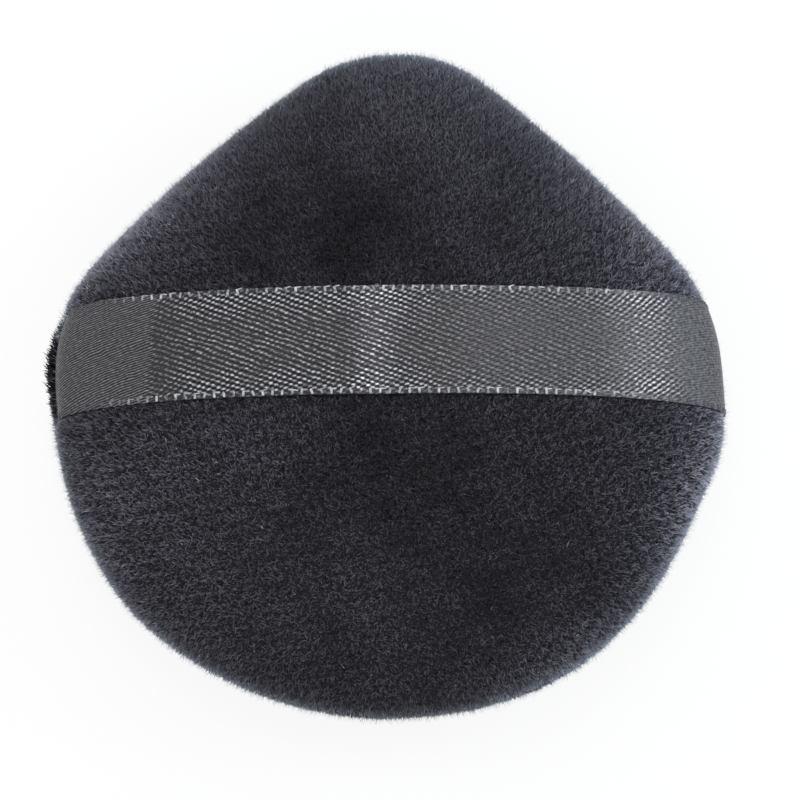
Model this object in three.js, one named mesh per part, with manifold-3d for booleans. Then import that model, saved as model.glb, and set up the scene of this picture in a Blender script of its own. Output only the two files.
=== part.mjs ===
// Powder puff: a plush teardrop pad with a satin finger ribbon across its back.
// Millimetres, +Z up. The pad lies on its front face with its tip towards +Y, and the ribbon runs along X.

import * as THREE from 'three';
import { mergeVertices } from 'three/addons/utils/BufferGeometryUtils.js';
import Module from 'manifold-3d';

// Outline of the pad seen from above, pile included
const BODY_RADIUS = 40; // round lower edge
const SHOULDER_RADIUS = 21.5; // tighter turn from the round edge into each flank
const SHOULDER_ANGLE = 5; // degrees above the widest line, where that turn begins
const FLANK_RADIUS = 143; // slight outward bow of the flanks
const TIP_RADIUS = 17; // blunt tip
const TIP_REACH = 41.3; // from the centre of the round edge to the tip

// Section of the pad
const PAD_THICKNESS = 20;
const SEAM_HEIGHT = 9.6; // middle of the side seam above the rest face
const FULLNESS = 2.4; // power of the section's curve: 2 is an ellipse, more is squarer
const REST_FLAT_DEPTH = 0.5; // how far the front's crown is flattened where it rests

// Velour cloth
const CLOTH_THICKNESS = 0.8; // knitted ground, which is all that is left inside the seam
const PILE_HEIGHT = 1.8;
const SEAM_ALLOWANCE = 5; // width of cloth turned in past the wall

// Satin ribbon
const RIBBON_WIDTH = 13;
const RIBBON_THICKNESS = 0.3;
const RIBBON_TAIL = 6.5; // length of each end inside the seam
const RIBBON_OFFSET = 3; // from the widest line towards the tip, at the ends
const RIBBON_BOW = 0.4; // further towards the tip at the middle
const RIBBON_SEWN = 12; // stretch above the seam that stays put when the strap lifts

// Sewing
const THREAD_DIAMETER = 0.3;
const STITCH_LENGTH = 4;
const STITCH_INSET = 0.9; // stitch line from the inside of the wall
const STITCH_SPREAD = 0.36; // half the width of a loop where it enters the cloth
const TURNING_GAP = 34; // stretch of seam left open for filling, then closed by hand

// Clearances
const FIT_GAP = 0.3; // between soft pieces that press on each other
const SEW_GAP = 0.15; // between sewn layers and their thread

// Fineness of the curved faces
const EDGE_POINTS = 44;
const SECTION_STEP = 15; // degrees
const RIBBON_STRIPS = 4;
const STRAP_STEPS = 22;
const SEWN_STEPS = 6;
const SLOPE_PROBE = 0.01; // step for measuring a slope, in millimetres

const WALL = CLOTH_THICKNESS + PILE_HEIGHT;
const FLANGE_DEPTH = WALL + SEAM_ALLOWANCE;
const SEAM_OPENING = RIBBON_THICKNESS + 2 * SEW_GAP;
const BACK_RIM = SEAM_HEIGHT + SEAM_OPENING / 2;
const FRONT_RIM = SEAM_HEIGHT - SEAM_OPENING / 2;
const BACK_RISE = PAD_THICKNESS - BACK_RIM;
const FRONT_RISE = FRONT_RIM;
const THREAD_RISE = CLOTH_THICKNESS + SEW_GAP + THREAD_DIAMETER / 2; // centre of the thread over the rim
const NOTCH_RISE = THREAD_RISE + THREAD_DIAMETER / 2 + FIT_GAP; // half of the foam's notch over the rim
const STRAP_GAP = FIT_GAP; // between the strap and the sewn ends

const radians = THREE.MathUtils.degToRad;
const degrees = THREE.MathUtils.radToDeg;

// Outline of the pad

// The centre of a circle that two given circles touch from inside, on the side away from the flank.
function centreAround(first, firstDistance, second, secondDistance) {
  const between = second.clone().sub(first);
  const apart = between.length();
  const along = (firstDistance ** 2 - secondDistance ** 2 + apart ** 2) / (2 * apart);
  const aside = Math.sqrt(firstDistance ** 2 - along ** 2);
  const forward = between.normalize();
  const left = new THREE.Vector2(-forward.y, forward.x);
  return first.clone().addScaledVector(forward, along).addScaledVector(left, aside);
}

// The right-hand half of the edge as arcs from the bottom to the tip, each with the point where it ends.
function edgeArcs() {
  const bodyCentre = new THREE.Vector2(0, 0);
  const shoulderTurn = radians(SHOULDER_ANGLE);
  const shoulderWay = new THREE.Vector2(Math.cos(shoulderTurn), Math.sin(shoulderTurn));
  const shoulderCentre = shoulderWay.clone().multiplyScalar(BODY_RADIUS - SHOULDER_RADIUS);
  const tipCentre = new THREE.Vector2(0, TIP_REACH - TIP_RADIUS);
  const flankCentre = centreAround(
    shoulderCentre, FLANK_RADIUS - SHOULDER_RADIUS, tipCentre, FLANK_RADIUS - TIP_RADIUS
  );
  const reach = (centre, radius) => {
    const way = centre.clone().sub(flankCentre).normalize();
    return centre.clone().addScaledVector(way, radius);
  };
  return [
    { centre: bodyCentre, radius: BODY_RADIUS, end: shoulderWay.clone().multiplyScalar(BODY_RADIUS) },
    { centre: shoulderCentre, radius: SHOULDER_RADIUS, end: reach(shoulderCentre, SHOULDER_RADIUS) },
    { centre: flankCentre, radius: FLANK_RADIUS, end: reach(tipCentre, TIP_RADIUS) },
    { centre: tipCentre, radius: TIP_RADIUS, end: new THREE.Vector2(0, TIP_REACH) },
  ];
}

const ARCS = edgeArcs();

// Distance from the pad's centre to its edge in one direction.
function edgeReach(turn) {
  const way = new THREE.Vector2(Math.abs(Math.cos(turn)), Math.sin(turn));
  const height = Math.atan2(way.y, way.x);
  const arc = ARCS.find(({ end }) => height <= Math.atan2(end.y, end.x)) ?? ARCS.at(-1);
  const across = arc.centre.cross(way);
  return arc.centre.dot(way) + Math.sqrt(arc.radius ** 2 - across ** 2);
}

// Half the pad's width at one place along Y.
function edgeWidth(y) {
  const arc = ARCS.find(({ end }) => y <= end.y);
  return arc.centre.x + Math.sqrt(arc.radius ** 2 - (y - arc.centre.y) ** 2);
}

// A line round the pad, a fixed distance inside its edge, starting at the bottom.
class PadEdge extends THREE.Curve {
  constructor(inset) {
    super();
    this.inset = inset;
  }

  getPoint(share, target = new THREE.Vector3()) {
    const turn = radians(360 * share - 90);
    const reach = edgeReach(turn) - this.inset;
    return target.set(reach * Math.cos(turn), reach * Math.sin(turn), 0);
  }
}

// Building blocks

// Two triangles for four corners, leaving out one that has shrunk to a line.
function quad(a, b, c, d) {
  const corners = [[a, b, c], [a, c, d]];
  return corners.filter(([p, q, r]) => !p.equals(q) && !q.equals(r) && !r.equals(p)).flat();
}

function closedBody(corners) {
  const geometry = mergeVertices(new THREE.BufferGeometry().setFromPoints(corners));
  geometry.computeVertexNormals();
  return geometry;
}

const edgePoints = new PadEdge(0).getSpacedPoints(EDGE_POINTS).slice(0, -1);

// One loop of points at a share of the way from the centre to the edge, less an inset, at one height.
function loop({ share, inset, z }) {
  return edgePoints.map((point) => {
    const shrink = share * (1 - inset / point.length());
    return new THREE.Vector3(point.x * shrink, point.y * shrink, z);
  });
}

// A body with the pad's outline whose section is a profile from the axis out and back to the axis.
function padBody(profile) {
  const loops = profile.map(loop);
  const corners = [];
  for (let i = 0; i + 1 < loops.length; i += 1) {
    for (let j = 0; j < EDGE_POINTS; j += 1) {
      const next = (j + 1) % EDGE_POINTS;
      corners.push(...quad(loops[i][j], loops[i + 1][j], loops[i + 1][next], loops[i][next]));
    }
  }
  return closedBody(corners);
}

// A thin sheet from lines that lie side by side, each a list of points on its inner and outer face.
function sheetBody(lines) {
  const corners = [];
  const last = lines.length - 1;
  const end = lines[0].length - 1;
  for (let i = 0; i < end; i += 1) {
    for (let k = 0; k < last; k += 1) {
      const [a, b, c, d] = [lines[k][i], lines[k][i + 1], lines[k + 1][i + 1], lines[k + 1][i]];
      corners.push(...quad(a.outer, b.outer, c.outer, d.outer));
      corners.push(...quad(d.inner, c.inner, b.inner, a.inner));
    }
    const [near, far] = [lines[0], lines[last]];
    corners.push(...quad(near[i].inner, near[i + 1].inner, near[i + 1].outer, near[i].outer));
    corners.push(...quad(far[i + 1].inner, far[i].inner, far[i].outer, far[i + 1].outer));
  }
  for (let k = 0; k < last; k += 1) {
    const [line, next] = [lines[k], lines[k + 1]];
    corners.push(...quad(next[0].inner, line[0].inner, line[0].outer, next[0].outer));
    corners.push(...quad(line[end].inner, next[end].inner, next[end].outer, line[end].outer));
  }
  return closedBody(corners);
}

// A four-sided thread along a list of points round the pad.
function threadBody(points) {
  const radius = THREAD_DIAMETER / 2;
  const sections = points.map((point, i) => {
    const before = points[Math.max(i - 1, 0)];
    const after = points[Math.min(i + 1, points.length - 1)];
    const arriving = point.clone().sub(before).normalize();
    const along = after.clone().sub(point).normalize().add(arriving).normalize();
    const outward = new THREE.Vector3(point.x, point.y, 0).normalize();
    const upward = outward.clone().cross(along).normalize();
    return [[1, 0], [0, 1], [-1, 0], [0, -1]].map(([out, up]) =>
      point.clone().addScaledVector(outward, out * radius).addScaledVector(upward, up * radius)
    );
  });
  const corners = quad(...sections[0]);
  for (let i = 0; i + 1 < sections.length; i += 1) {
    const [here, there] = [sections[i], sections[i + 1]];
    here.forEach((corner, j) => {
      const next = (j + 1) % here.length;
      corners.push(...quad(corner, there[j], there[next], here[next]));
    });
  }
  corners.push(...quad(...sections.at(-1).reverse()));
  return closedBody(corners);
}

const wasm = await Module();
wasm.setup();

function toSolid(geometry) {
  const bare = geometry.clone();
  bare.deleteAttribute('normal');
  bare.deleteAttribute('uv');
  const merged = mergeVertices(bare);
  return new wasm.Manifold(new wasm.Mesh({
    numProp: 3,
    vertProperties: new Float32Array(merged.attributes.position.array),
    triVerts: new Uint32Array(merged.index.array),
  }));
}

function toGeometry(solid) {
  const { vertProperties, triVerts } = solid.getMesh();
  const geometry = new THREE.BufferGeometry();
  geometry.setAttribute('position', new THREE.BufferAttribute(vertProperties, 3));
  geometry.setIndex(new THREE.BufferAttribute(triVerts, 1));
  geometry.computeVertexNormals();
  return geometry;
}

// Domed section of the pad

// The angle on a dome's curve at which it stands a given height over its rim.
function angleAt(height, rise) {
  return degrees(Math.acos((height / rise) ** (FULLNESS / 2)));
}

// Points down a dome's curve between two angles, from the crown at 0 to the rim at 90.
function domeCurve(rise, from, to) {
  const angles = [from];
  for (let angle = SECTION_STEP; angle < to; angle += SECTION_STEP) {
    if (angle > from) angles.push(angle);
  }
  angles.push(to);
  return angles.map((angle) => ({
    share: Math.sin(radians(angle)) ** (2 / FULLNESS),
    rise: rise * Math.max(Math.cos(radians(angle)), 0) ** (2 / FULLNESS),
  }));
}

// A dome from its middle down to a given height over the rim, with its crown cut flat.
function cutDome(rise, cut, lowest, inset) {
  const whole = rise + cut;
  const curve = domeCurve(whole, angleAt(rise, whole), angleAt(lowest, whole));
  return [{ share: 0, rise }, ...curve].map((step) => ({ ...step, inset }));
}

// Half of the cover: the pile's surface, then the turned-in cloth, then back inside to the middle.
function panelSection(rise, cut) {
  return [
    ...cutDome(rise, cut, 0, 0),
    { share: 1, inset: FLANGE_DEPTH, rise: 0 },
    { share: 1, inset: FLANGE_DEPTH, rise: CLOTH_THICKNESS },
    ...cutDome(rise - WALL, cut, CLOTH_THICKNESS, WALL).reverse(),
  ];
}

// Half of the foam, which fills a panel down to the notch that clears the seam.
function foamSection(rise, cut) {
  const inset = WALL + FIT_GAP;
  return [
    ...cutDome(rise - inset, cut, NOTCH_RISE, inset),
    { share: 1, inset: FLANGE_DEPTH + FIT_GAP, rise: NOTCH_RISE },
  ];
}

const overBack = ({ rise, ...step }) => ({ ...step, z: BACK_RIM + rise });
const underFront = ({ rise, ...step }) => ({ ...step, z: FRONT_RIM - rise });

function backPanel() {
  return padBody(panelSection(BACK_RISE, 0).map(overBack));
}

function frontPanel() {
  return padBody(panelSection(FRONT_RISE, REST_FLAT_DEPTH).map(underFront).reverse());
}

function foamCore() {
  const upper = foamSection(BACK_RISE, 0).map(overBack);
  const lower = foamSection(FRONT_RISE, REST_FLAT_DEPTH).map(underFront);
  return padBody([...upper, ...lower.reverse()]);
}

// Seam all round the pad

const stitchLine = new PadEdge(WALL + STITCH_INSET);
const stitchCount = Math.round(stitchLine.getLength() / STITCH_LENGTH);
const closingHalf = Math.round(TURNING_GAP / 2 / STITCH_LENGTH);
const stitchSpacing = stitchLine.getLength() / stitchCount;
const LOOSE_END = 0.35 * STITCH_LENGTH; // thread past its last hole

// A point on the stitch line, at a distance past one hole and at a height.
function stitchPoint(hole, past, z) {
  const share = (hole + 0.5 + past / stitchSpacing) / stitchCount;
  return stitchLine.getPointAt(THREE.MathUtils.euclideanModulo(share, 1)).setZ(z);
}

// One side of the lockstitch: along the cloth and down to the middle of the seam at each hole.
function lockstitchThread(side) {
  const rim = SEAM_HEIGHT + side * SEAM_OPENING / 2;
  const outside = rim + side * THREAD_RISE;
  const middle = SEAM_HEIGHT + side * (SEW_GAP + THREAD_DIAMETER / 2);
  const first = closingHalf;
  const last = stitchCount - closingHalf - 1;
  const points = [stitchPoint(first, -LOOSE_END, outside)];
  for (let hole = first; hole <= last; hole += 1) {
    points.push(stitchPoint(hole, -STITCH_SPREAD, outside));
    points.push(stitchPoint(hole, 0, middle));
    points.push(stitchPoint(hole, STITCH_SPREAD, outside));
  }
  points.push(stitchPoint(last, LOOSE_END, outside));
  return threadBody(points);
}

// The running stitch that shuts the turning gap, passing from side to side at each hole.
function closingThread() {
  const levels = [BACK_RIM + THREAD_RISE, FRONT_RIM - THREAD_RISE];
  const points = [stitchPoint(-closingHalf, -LOOSE_END, levels[0])];
  for (let i = 0; i < 2 * closingHalf; i += 1) {
    const hole = i - closingHalf;
    points.push(stitchPoint(hole, -STITCH_SPREAD, levels[i % 2]));
    points.push(stitchPoint(hole, STITCH_SPREAD, levels[(i + 1) % 2]));
  }
  points.push(stitchPoint(closingHalf - 1, LOOSE_END, levels[0]));
  return threadBody(points);
}

// All the needle holes, long enough for a loop of thread to turn back in.
function needleHoles() {
  const length = 2 * (STITCH_SPREAD + SEW_GAP) + THREAD_DIAMETER;
  const width = THREAD_DIAMETER + 2 * SEW_GAP;
  const height = SEAM_OPENING + 2 * (CLOTH_THICKNESS + SEW_GAP);
  const holes = [];
  for (let hole = 0; hole < stitchCount; hole += 1) {
    const along = stitchPoint(hole, STITCH_SPREAD, 0).sub(stitchPoint(hole, -STITCH_SPREAD, 0));
    const place = stitchPoint(hole, 0, SEAM_HEIGHT);
    const box = new THREE.BoxGeometry(length, width, height);
    box.rotateZ(Math.atan2(along.y, along.x)).translate(place.x, place.y, place.z);
    holes.push(toSolid(box));
  }
  return wasm.Manifold.union(holes);
}

const holes = needleHoles();
const sewn = (geometry) => toGeometry(toSolid(geometry).subtract(holes));

// Ribbon over the back

// The share of the way from the pad's centre to its edge at one place.
function padShare(x, y) {
  return Math.hypot(x, y) / edgeReach(Math.atan2(y, x));
}

function backRise(x, y) {
  const share = Math.min(padShare(x, y), 1);
  return BACK_RISE * (1 - share ** FULLNESS) ** (1 / FULLNESS);
}

// The direction straight out of the back's dome.
function backNormal({ x, y, z }) {
  const share = padShare(x, y) ** (FULLNESS - 1);
  const slopeX = (padShare(x + SLOPE_PROBE, y) - padShare(x - SLOPE_PROBE, y)) / (2 * SLOPE_PROBE);
  const slopeY = (padShare(x, y + SLOPE_PROBE) - padShare(x, y - SLOPE_PROBE)) / (2 * SLOPE_PROBE);
  const slopeZ = ((z - BACK_RIM) / BACK_RISE) ** (FULLNESS - 1) / BACK_RISE;
  return new THREE.Vector3(share * slopeX, share * slopeY, slopeZ).normalize();
}

// One line along the ribbon, over the back from the left rim to the right rim.
class RibbonLine extends THREE.Curve {
  constructor(across) {
    super();
    this.arcLengthDivisions = 400;
    this.end = RIBBON_OFFSET + across;
    this.reach = edgeWidth(this.end);
  }

  getPoint(share, target = new THREE.Vector3()) {
    const way = Math.sin(Math.PI * (share - 0.5));
    const x = this.reach * way;
    const y = this.end + RIBBON_BOW * (1 - way ** 2);
    return target.set(x, y, BACK_RIM + backRise(x, y));
  }

  // The ribbon's two faces at a distance along it from the left rim.
  faces(distance) {
    const point = this.getPointAt(distance / this.getLength());
    const out = backNormal(point);
    const inner = point.clone().addScaledVector(out, FIT_GAP);
    return { inner, outer: inner.clone().addScaledVector(out, RIBBON_THICKNESS) };
  }

  // The end that turns in at one side's rim and runs between the two layers of cloth.
  tail(side) {
    const rim = this.faces(side < 0 ? 0 : this.getLength());
    const upper = SEAM_HEIGHT + RIBBON_THICKNESS / 2;
    const lower = SEAM_HEIGHT - RIBBON_THICKNESS / 2;
    const inside = new THREE.Vector3(side * (this.reach - RIBBON_TAIL), this.end, 0);
    return [
      { inner: inside.clone().setZ(upper), outer: inside.clone().setZ(lower) },
      { inner: rim.inner.clone().setZ(upper), outer: rim.outer.clone().setZ(lower) },
      rim,
    ];
  }
}

const ribbonLines = Array.from({ length: RIBBON_STRIPS + 1 }, (_, k) =>
  new RibbonLine(RIBBON_WIDTH * (k / RIBBON_STRIPS - 0.5))
);

// The stretch that a finger lifts.
function ribbonStrap() {
  const start = RIBBON_SEWN + STRAP_GAP;
  return sheetBody(ribbonLines.map((line) => {
    const length = line.getLength() - 2 * start;
    return Array.from({ length: STRAP_STEPS + 1 }, (_, i) => line.faces(start + length * i / STRAP_STEPS));
  }));
}

// A sewn end: its tail in the seam and the stretch that lies against the side.
function ribbonEnd(side) {
  const lines = ribbonLines.map((line) => {
    const points = line.tail(side);
    for (let i = 1; i <= SEWN_STEPS; i += 1) {
      const distance = RIBBON_SEWN * i / SEWN_STEPS;
      points.push(line.faces(side < 0 ? distance : line.getLength() - distance));
    }
    return points;
  });
  return sheetBody(side < 0 ? lines : lines.reverse());
}

// Assembly

const velour = { color: '#1d1d21', roughness: 0.95, metalness: 0 };
const satin = { color: '#3c3c41', roughness: 0.45, metalness: 0 };
const foam = { color: '#e6e1d3', roughness: 0.9, metalness: 0 };
const polyesterThread = { color: '#17171a', roughness: 0.6, metalness: 0 };

const puff = new THREE.Group();
puff.name = 'powder_puff';
puff.position.y = (BODY_RADIUS - TIP_REACH) / 2;

function addPiece(name, geometry, finish) {
  const piece = new THREE.Mesh(geometry, new THREE.MeshStandardMaterial(finish));
  piece.name = name;
  puff.add(piece);
}

addPiece('back_velour_panel', sewn(backPanel()), velour);
addPiece('front_velour_panel', sewn(frontPanel()), velour);
addPiece('foam_core', foamCore(), foam);
addPiece('ribbon_strap', ribbonStrap(), satin);
addPiece('ribbon_left_end', sewn(ribbonEnd(-1)), satin);
addPiece('ribbon_right_end', sewn(ribbonEnd(1)), satin);
addPiece('seam_needle_thread', lockstitchThread(1), polyesterThread);
addPiece('seam_bobbin_thread', lockstitchThread(-1), polyesterThread);
addPiece('closing_thread', closingThread(), polyesterThread);

export default puff;
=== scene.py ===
import math

import bpy
import numpy as np
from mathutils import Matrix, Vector
from mathutils.bvhtree import BVHTree


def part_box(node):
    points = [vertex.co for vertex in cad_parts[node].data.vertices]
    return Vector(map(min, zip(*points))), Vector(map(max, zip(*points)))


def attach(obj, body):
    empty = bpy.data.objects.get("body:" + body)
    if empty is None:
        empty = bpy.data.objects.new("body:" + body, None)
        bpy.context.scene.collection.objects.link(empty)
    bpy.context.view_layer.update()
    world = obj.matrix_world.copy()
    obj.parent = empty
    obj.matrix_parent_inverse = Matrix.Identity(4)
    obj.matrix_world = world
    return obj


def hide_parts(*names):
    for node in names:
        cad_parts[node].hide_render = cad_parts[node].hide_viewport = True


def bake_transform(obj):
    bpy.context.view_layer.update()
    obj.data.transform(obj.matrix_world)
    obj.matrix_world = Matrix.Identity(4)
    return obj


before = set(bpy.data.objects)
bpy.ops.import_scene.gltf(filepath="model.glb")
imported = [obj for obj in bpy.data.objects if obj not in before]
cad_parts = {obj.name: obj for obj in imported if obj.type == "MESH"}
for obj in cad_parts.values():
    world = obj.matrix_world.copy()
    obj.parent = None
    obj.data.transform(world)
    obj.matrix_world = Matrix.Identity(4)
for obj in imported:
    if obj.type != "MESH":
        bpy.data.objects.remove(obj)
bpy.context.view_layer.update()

# The frame's own sizes, in metres
BACK_LOW, BACK_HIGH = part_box("back_velour_panel")
FRONT_LOW, FRONT_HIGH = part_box("front_velour_panel")
CORE_LOW, CORE_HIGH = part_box("foam_core")

MM = 0.001
GOLDEN_ANGLE = math.radians(137.5)
WAVE_TILT = 0.6                 # rise or fall of the plane waves that make things uneven

# Outline of the pad, as in the part
BODY_RADIUS = (BACK_HIGH.x - BACK_LOW.x) / 2
CENTRE_Y = BACK_LOW.y + BODY_RADIUS
TIP_REACH = BACK_HIGH.y - CENTRE_Y
SHOULDER_RADIUS = 21.5 * MM
SHOULDER_TURN = math.radians(5)
FLANK_RADIUS = 143 * MM
TIP_RADIUS = 17 * MM
FULLNESS = 2.4

# The sewn edge strays a little from the pattern: direction and width in degrees, distance outwards
EDGE_STRAYS = (
    (25, 10, 0.18 * MM),
    (60, 23, 0.55 * MM),
    (77, 12, 0.72 * MM),
    (172, 10, 0.40 * MM),
    (192, 8, -0.20 * MM),
    (222, 12, 0.45 * MM),
    (262, 25, -0.32 * MM),
    (303, 14, 0.50 * MM),
    (336, 12, -0.40 * MM),
    (350, 8, 0.65 * MM),
)

# Section of the pad
BACK_RIM = BACK_LOW.z
BACK_RISE = BACK_HIGH.z - BACK_RIM
FRONT_RIM = FRONT_HIGH.z
FRONT_RISE = FRONT_RIM - FRONT_LOW.z
SEAM_HEIGHT = (BACK_RIM + FRONT_RIM) / 2
CLOTH_THICKNESS = 0.8 * MM
SEAM_ALLOWANCE = 5 * MM

# Filling
CROWN_SWELL = 0.6 * MM          # the cover starts this much lower and swells over its foam
SIDE_SWELL = 0.35 * MM          # and this much narrower
SWELL_PRESSURE = 18             # several times a seat cushion's, for a pad a tenth of its size
SWELL_FRAMES = 20
KNIT_STIFFNESS = 5              # the knitted ground gives, so it stretches instead of folding
PILE_STIFFNESS = 10             # and its pile keeps it from creasing
SWELL_LIMIT = 2 * MM            # most that a point of the cover may move
ON_RIM = 0.01 * MM              # points this near the rim are sewn into the seam
UNEVEN_FILLING = 0.2 * MM       # height of the filling's bumps, which have these lengths
FILLING_LENGTHS = (17 * MM, 23 * MM, 31 * MM)
CORE_SLACK = 0.5 * MM           # the foam is pressed in this much more than its plain solid
PANEL_CUTS = 39                 # odd, so that one row of points lies on the rim

# Pile
PILE_BODY = 0.7 * MM            # lower part of the pile, too dense to see into
TUFT_HEIGHT = 0.5 * MM          # the tips that stand out of it
TUFT_PITCH = 0.19 * MM
COURSE_PITCH = 0.62 * MM        # rows of the knitted ground, which show faintly through the pile
COURSE_PULL = 0.15              # how far the tufts gather on those rows
COURSE_FADE = (0.4, 0.8)        # where the pad is steep they don't: rise of the surface's normal
ROOT_DEPTH = 0.1 * MM           # how far a tuft's root sits inside the pile's body
FIBRE_RADIUS = 0.14 * MM        # radius of a tuft at its root
LOOSE_RADIUS = 0.03 * MM        # radius of a loose fibre, which stands above the tufts
LOOSE_SHARE = 0.3
LOOSE_REACH = 1.9               # height of a loose fibre in tufts
MOST_TUFTS = 48000              # tufts in one piece, at four triangles each
TUFT_CELL = ((0.1, 0.1), (0.9, 0.1), (0.5, 0.3), (0.5, 0.9))    # root and tip in a tuft's cell of the bake
REST_DEPTH = 0.3 * MM           # pressed tips between the pile's body and the table
REST_TIPS = 0.1 * MM            # height of the lowest pressed tips over the table
PRESSED_PILE = 0.2 * MM         # pressed tips between the pile's body and the ribbon
PRESSED_TIPS = 0.05 * MM        # and between those tips and the ribbon
BODY_SLOPE = 0.8                # how steeply the pile's body rises again beside the ribbon
BODY_REACH = 3 * MM             # and how far from the ribbon it is pressed
TIPS_SLOPE = 2.0
TIPS_REACH = 1 * MM

# How the pile leans, as slopes, and how uneven it is
NAP_WAY = 1.9                   # direction in which the nap was brushed, in radians from the right
NAP_SWIRL = 0.8                 # and how far it swirls to either side
SWIRL_LENGTHS = (31 * MM, 43 * MM, 59 * MM)
NAP_LEAN = 0.2
OUTWARD_LEAN = 0.3              # at the edge, and less further in
STRAY_LEAN = 0.45
STRAY_NORMAL = 0.2
STRAY_HEIGHT = 0.12
CLUMP_HEIGHT = 0.2
CLUMP_LENGTHS = (0.61 * MM, 0.73 * MM, 0.87 * MM, 1.03 * MM, 1.23 * MM, 1.47 * MM)

# Tones of the tufts, as shares of the cloth's own colour
LEAST_TONE = 0.15
MOST_TONE = 8
CLOUD_TONE = 0.12
CLOUD_LENGTHS = (3.1 * MM, 4.3 * MM, 6.1 * MM, 8.3 * MM, 11.9 * MM)
CLUMP_TONE = 0.42
STRAY_TONE = 0.65
GLINT_SHARE = 0.006             # a few fibres get a painted glint
PAINTED_GLINT_TONE = 2.5
# The tones are unevener in the middle of the pad's length than at its ends
MOTTLE_PLACES = (-32 * MM, -12 * MM, 8 * MM, 30 * MM)
MOTTLE = (0.85, 1.2, 1.15, 0.4)

# Lighter or darker patches where the nap was brushed, and patches of painted light and shade: place from
# the pad's centre, radius, change of shade
NAP_AND_PAINTED_LIGHT_PATCHES = (
    # Painted shade in the pile beside the ribbon, above and below it
    (-4 * MM, 13 * MM, 13 * MM, -0.32),
    (3 * MM, -12 * MM, 13 * MM, -0.32),
    # Painted sheen on the slope of the tip
    (4 * MM, 32 * MM, 9 * MM, 0.42),
    # Where the nap was brushed lighter or darker
    (-3 * MM, 19 * MM, 8 * MM, -0.35),
    (-16 * MM, 15 * MM, 7 * MM, -0.20),
    (0 * MM, -9 * MM, 7 * MM, -0.18),
    (-15 * MM, -9 * MM, 6 * MM, 0.35),
    (-30 * MM, -14 * MM, 9 * MM, 0.60),
    (-2 * MM, -26 * MM, 5 * MM, 0.35),
    (-20 * MM, -27 * MM, 9 * MM, 0.30),
    (14 * MM, -26 * MM, 8 * MM, -0.30),
    (24 * MM, -23 * MM, 5 * MM, -0.20),
    # Painted sheen on the right flank
    (31 * MM, 13 * MM, 7 * MM, 0.65),
)
# Painted sheen at the edge, where it catches the light: direction and width in degrees,
# change of shade
PAINTED_RIM_SHEEN = (
    (3, 14, 2.5),
    (36, 20, 3.8),
    (78, 20, 1.2),
    (148, 20, 6.0),
    (215, 20, 1.2),
    (304, 14, 2.4),
    (341, 18, 5.5),
)
RIM_REACH = 2.4 * MM            # how far in from the edge this fades to a third
RIM_FADE = (-0.2, 0.3)          # it fades as the surface turns down: rise of its normal
# Where the front's pile stands longer at the edge: place from the pad's centre, radius, share longer
LONG_PILE = (
    (-40 * MM, 2 * MM, 5 * MM, 1.2),
    (-4 * MM, -40 * MM, 2 * MM, 0.6),
    (18 * MM, -36 * MM, 2 * MM, 0.6),
)
LONG_SHALLOWER = 2              # its patches are this much less high than they are wide
LONG_PAINTED_SHADE = 0.7               # painted shade: it is darker, for the light gets lost in it
LONG_THICKER = 0.5
LONG_LEAN = 0.5                 # it leans towards the tip
LONG_NORMAL = 2.0               # and is lit as if it faced up
LONG_CLEAR = 0.2                # no loose fibres where it is longer than this

# Ribbon
RIBBON_WIDTH = 13 * MM
RIBBON_THICKNESS = 0.3 * MM
RIBBON_TAIL = 6.5 * MM
RIBBON_OFFSET = 3 * MM
RIBBON_BOW = 0.4 * MM
RIBBON_SINK = 0.35 * MM         # the tight ribbon presses this far into the pile on top
LEFT_PULL = 1.1 * MM            # and this much more at its left end, where the seam draws it in
RIGHT_PULL = 0.25 * MM
RIBBON_SLANT = 0.4 * MM         # its right end is this much nearer the tip, its left end as much further
RIBBON_FLARE = 0.7 * MM         # it spreads this much wider where it is sewn
RIBBON_WAVE = 0.06 * MM         # slack that lifts and lowers it slightly along its length
RIBBON_WAVE_LENGTHS = (11 * MM, 19 * MM)
RIBBON_STEPS = 300              # faces along it
RIBBON_STRIPS = 28              # and across it
THREAD_POINTS = 500             # points on one thread's line over the back
TAIL_NORMAL = -0.5              # faces of the tails look down: rise of a face's normal
RIBBON_CREASE = math.radians(40)    # its faces meet its edges at more than this
SELVEDGE_WIDTH = 0.7 * MM
LOOP_PITCH = 1.13 * MM
LOOP_WIDTH = 0.30 * MM
LOOP_STANDS_OUT = 0.1 * MM      # how far a loop stands out of the ribbon's faces
LOOP_STRAY = 0.25               # slope by which a loop strays from straight across
LOOP_ROUNDING = 0.3 * LOOP_WIDTH
HOOK_SHARE = 0.7                # share of the loops that hook over to the next one
HOOK_LENGTH = 0.6 * LOOP_PITCH
HOOK_WIDTH = 0.5 * LOOP_WIDTH
HOOK_FLATTER = 0.9              # height of a hook in loops
HOOK_ASIDE = 0.38 * SELVEDGE_WIDTH  # how far from the middle of its loop it turns off
LOOP_TWIST = 0.9 * MM           # size of the lighter and darker turns of the yarn
LOOPS_BRIGHT = 26 * MM          # the loops are bright up to here from the middle
LOOPS_DULL = 34 * MM            # and dull from here on

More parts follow.
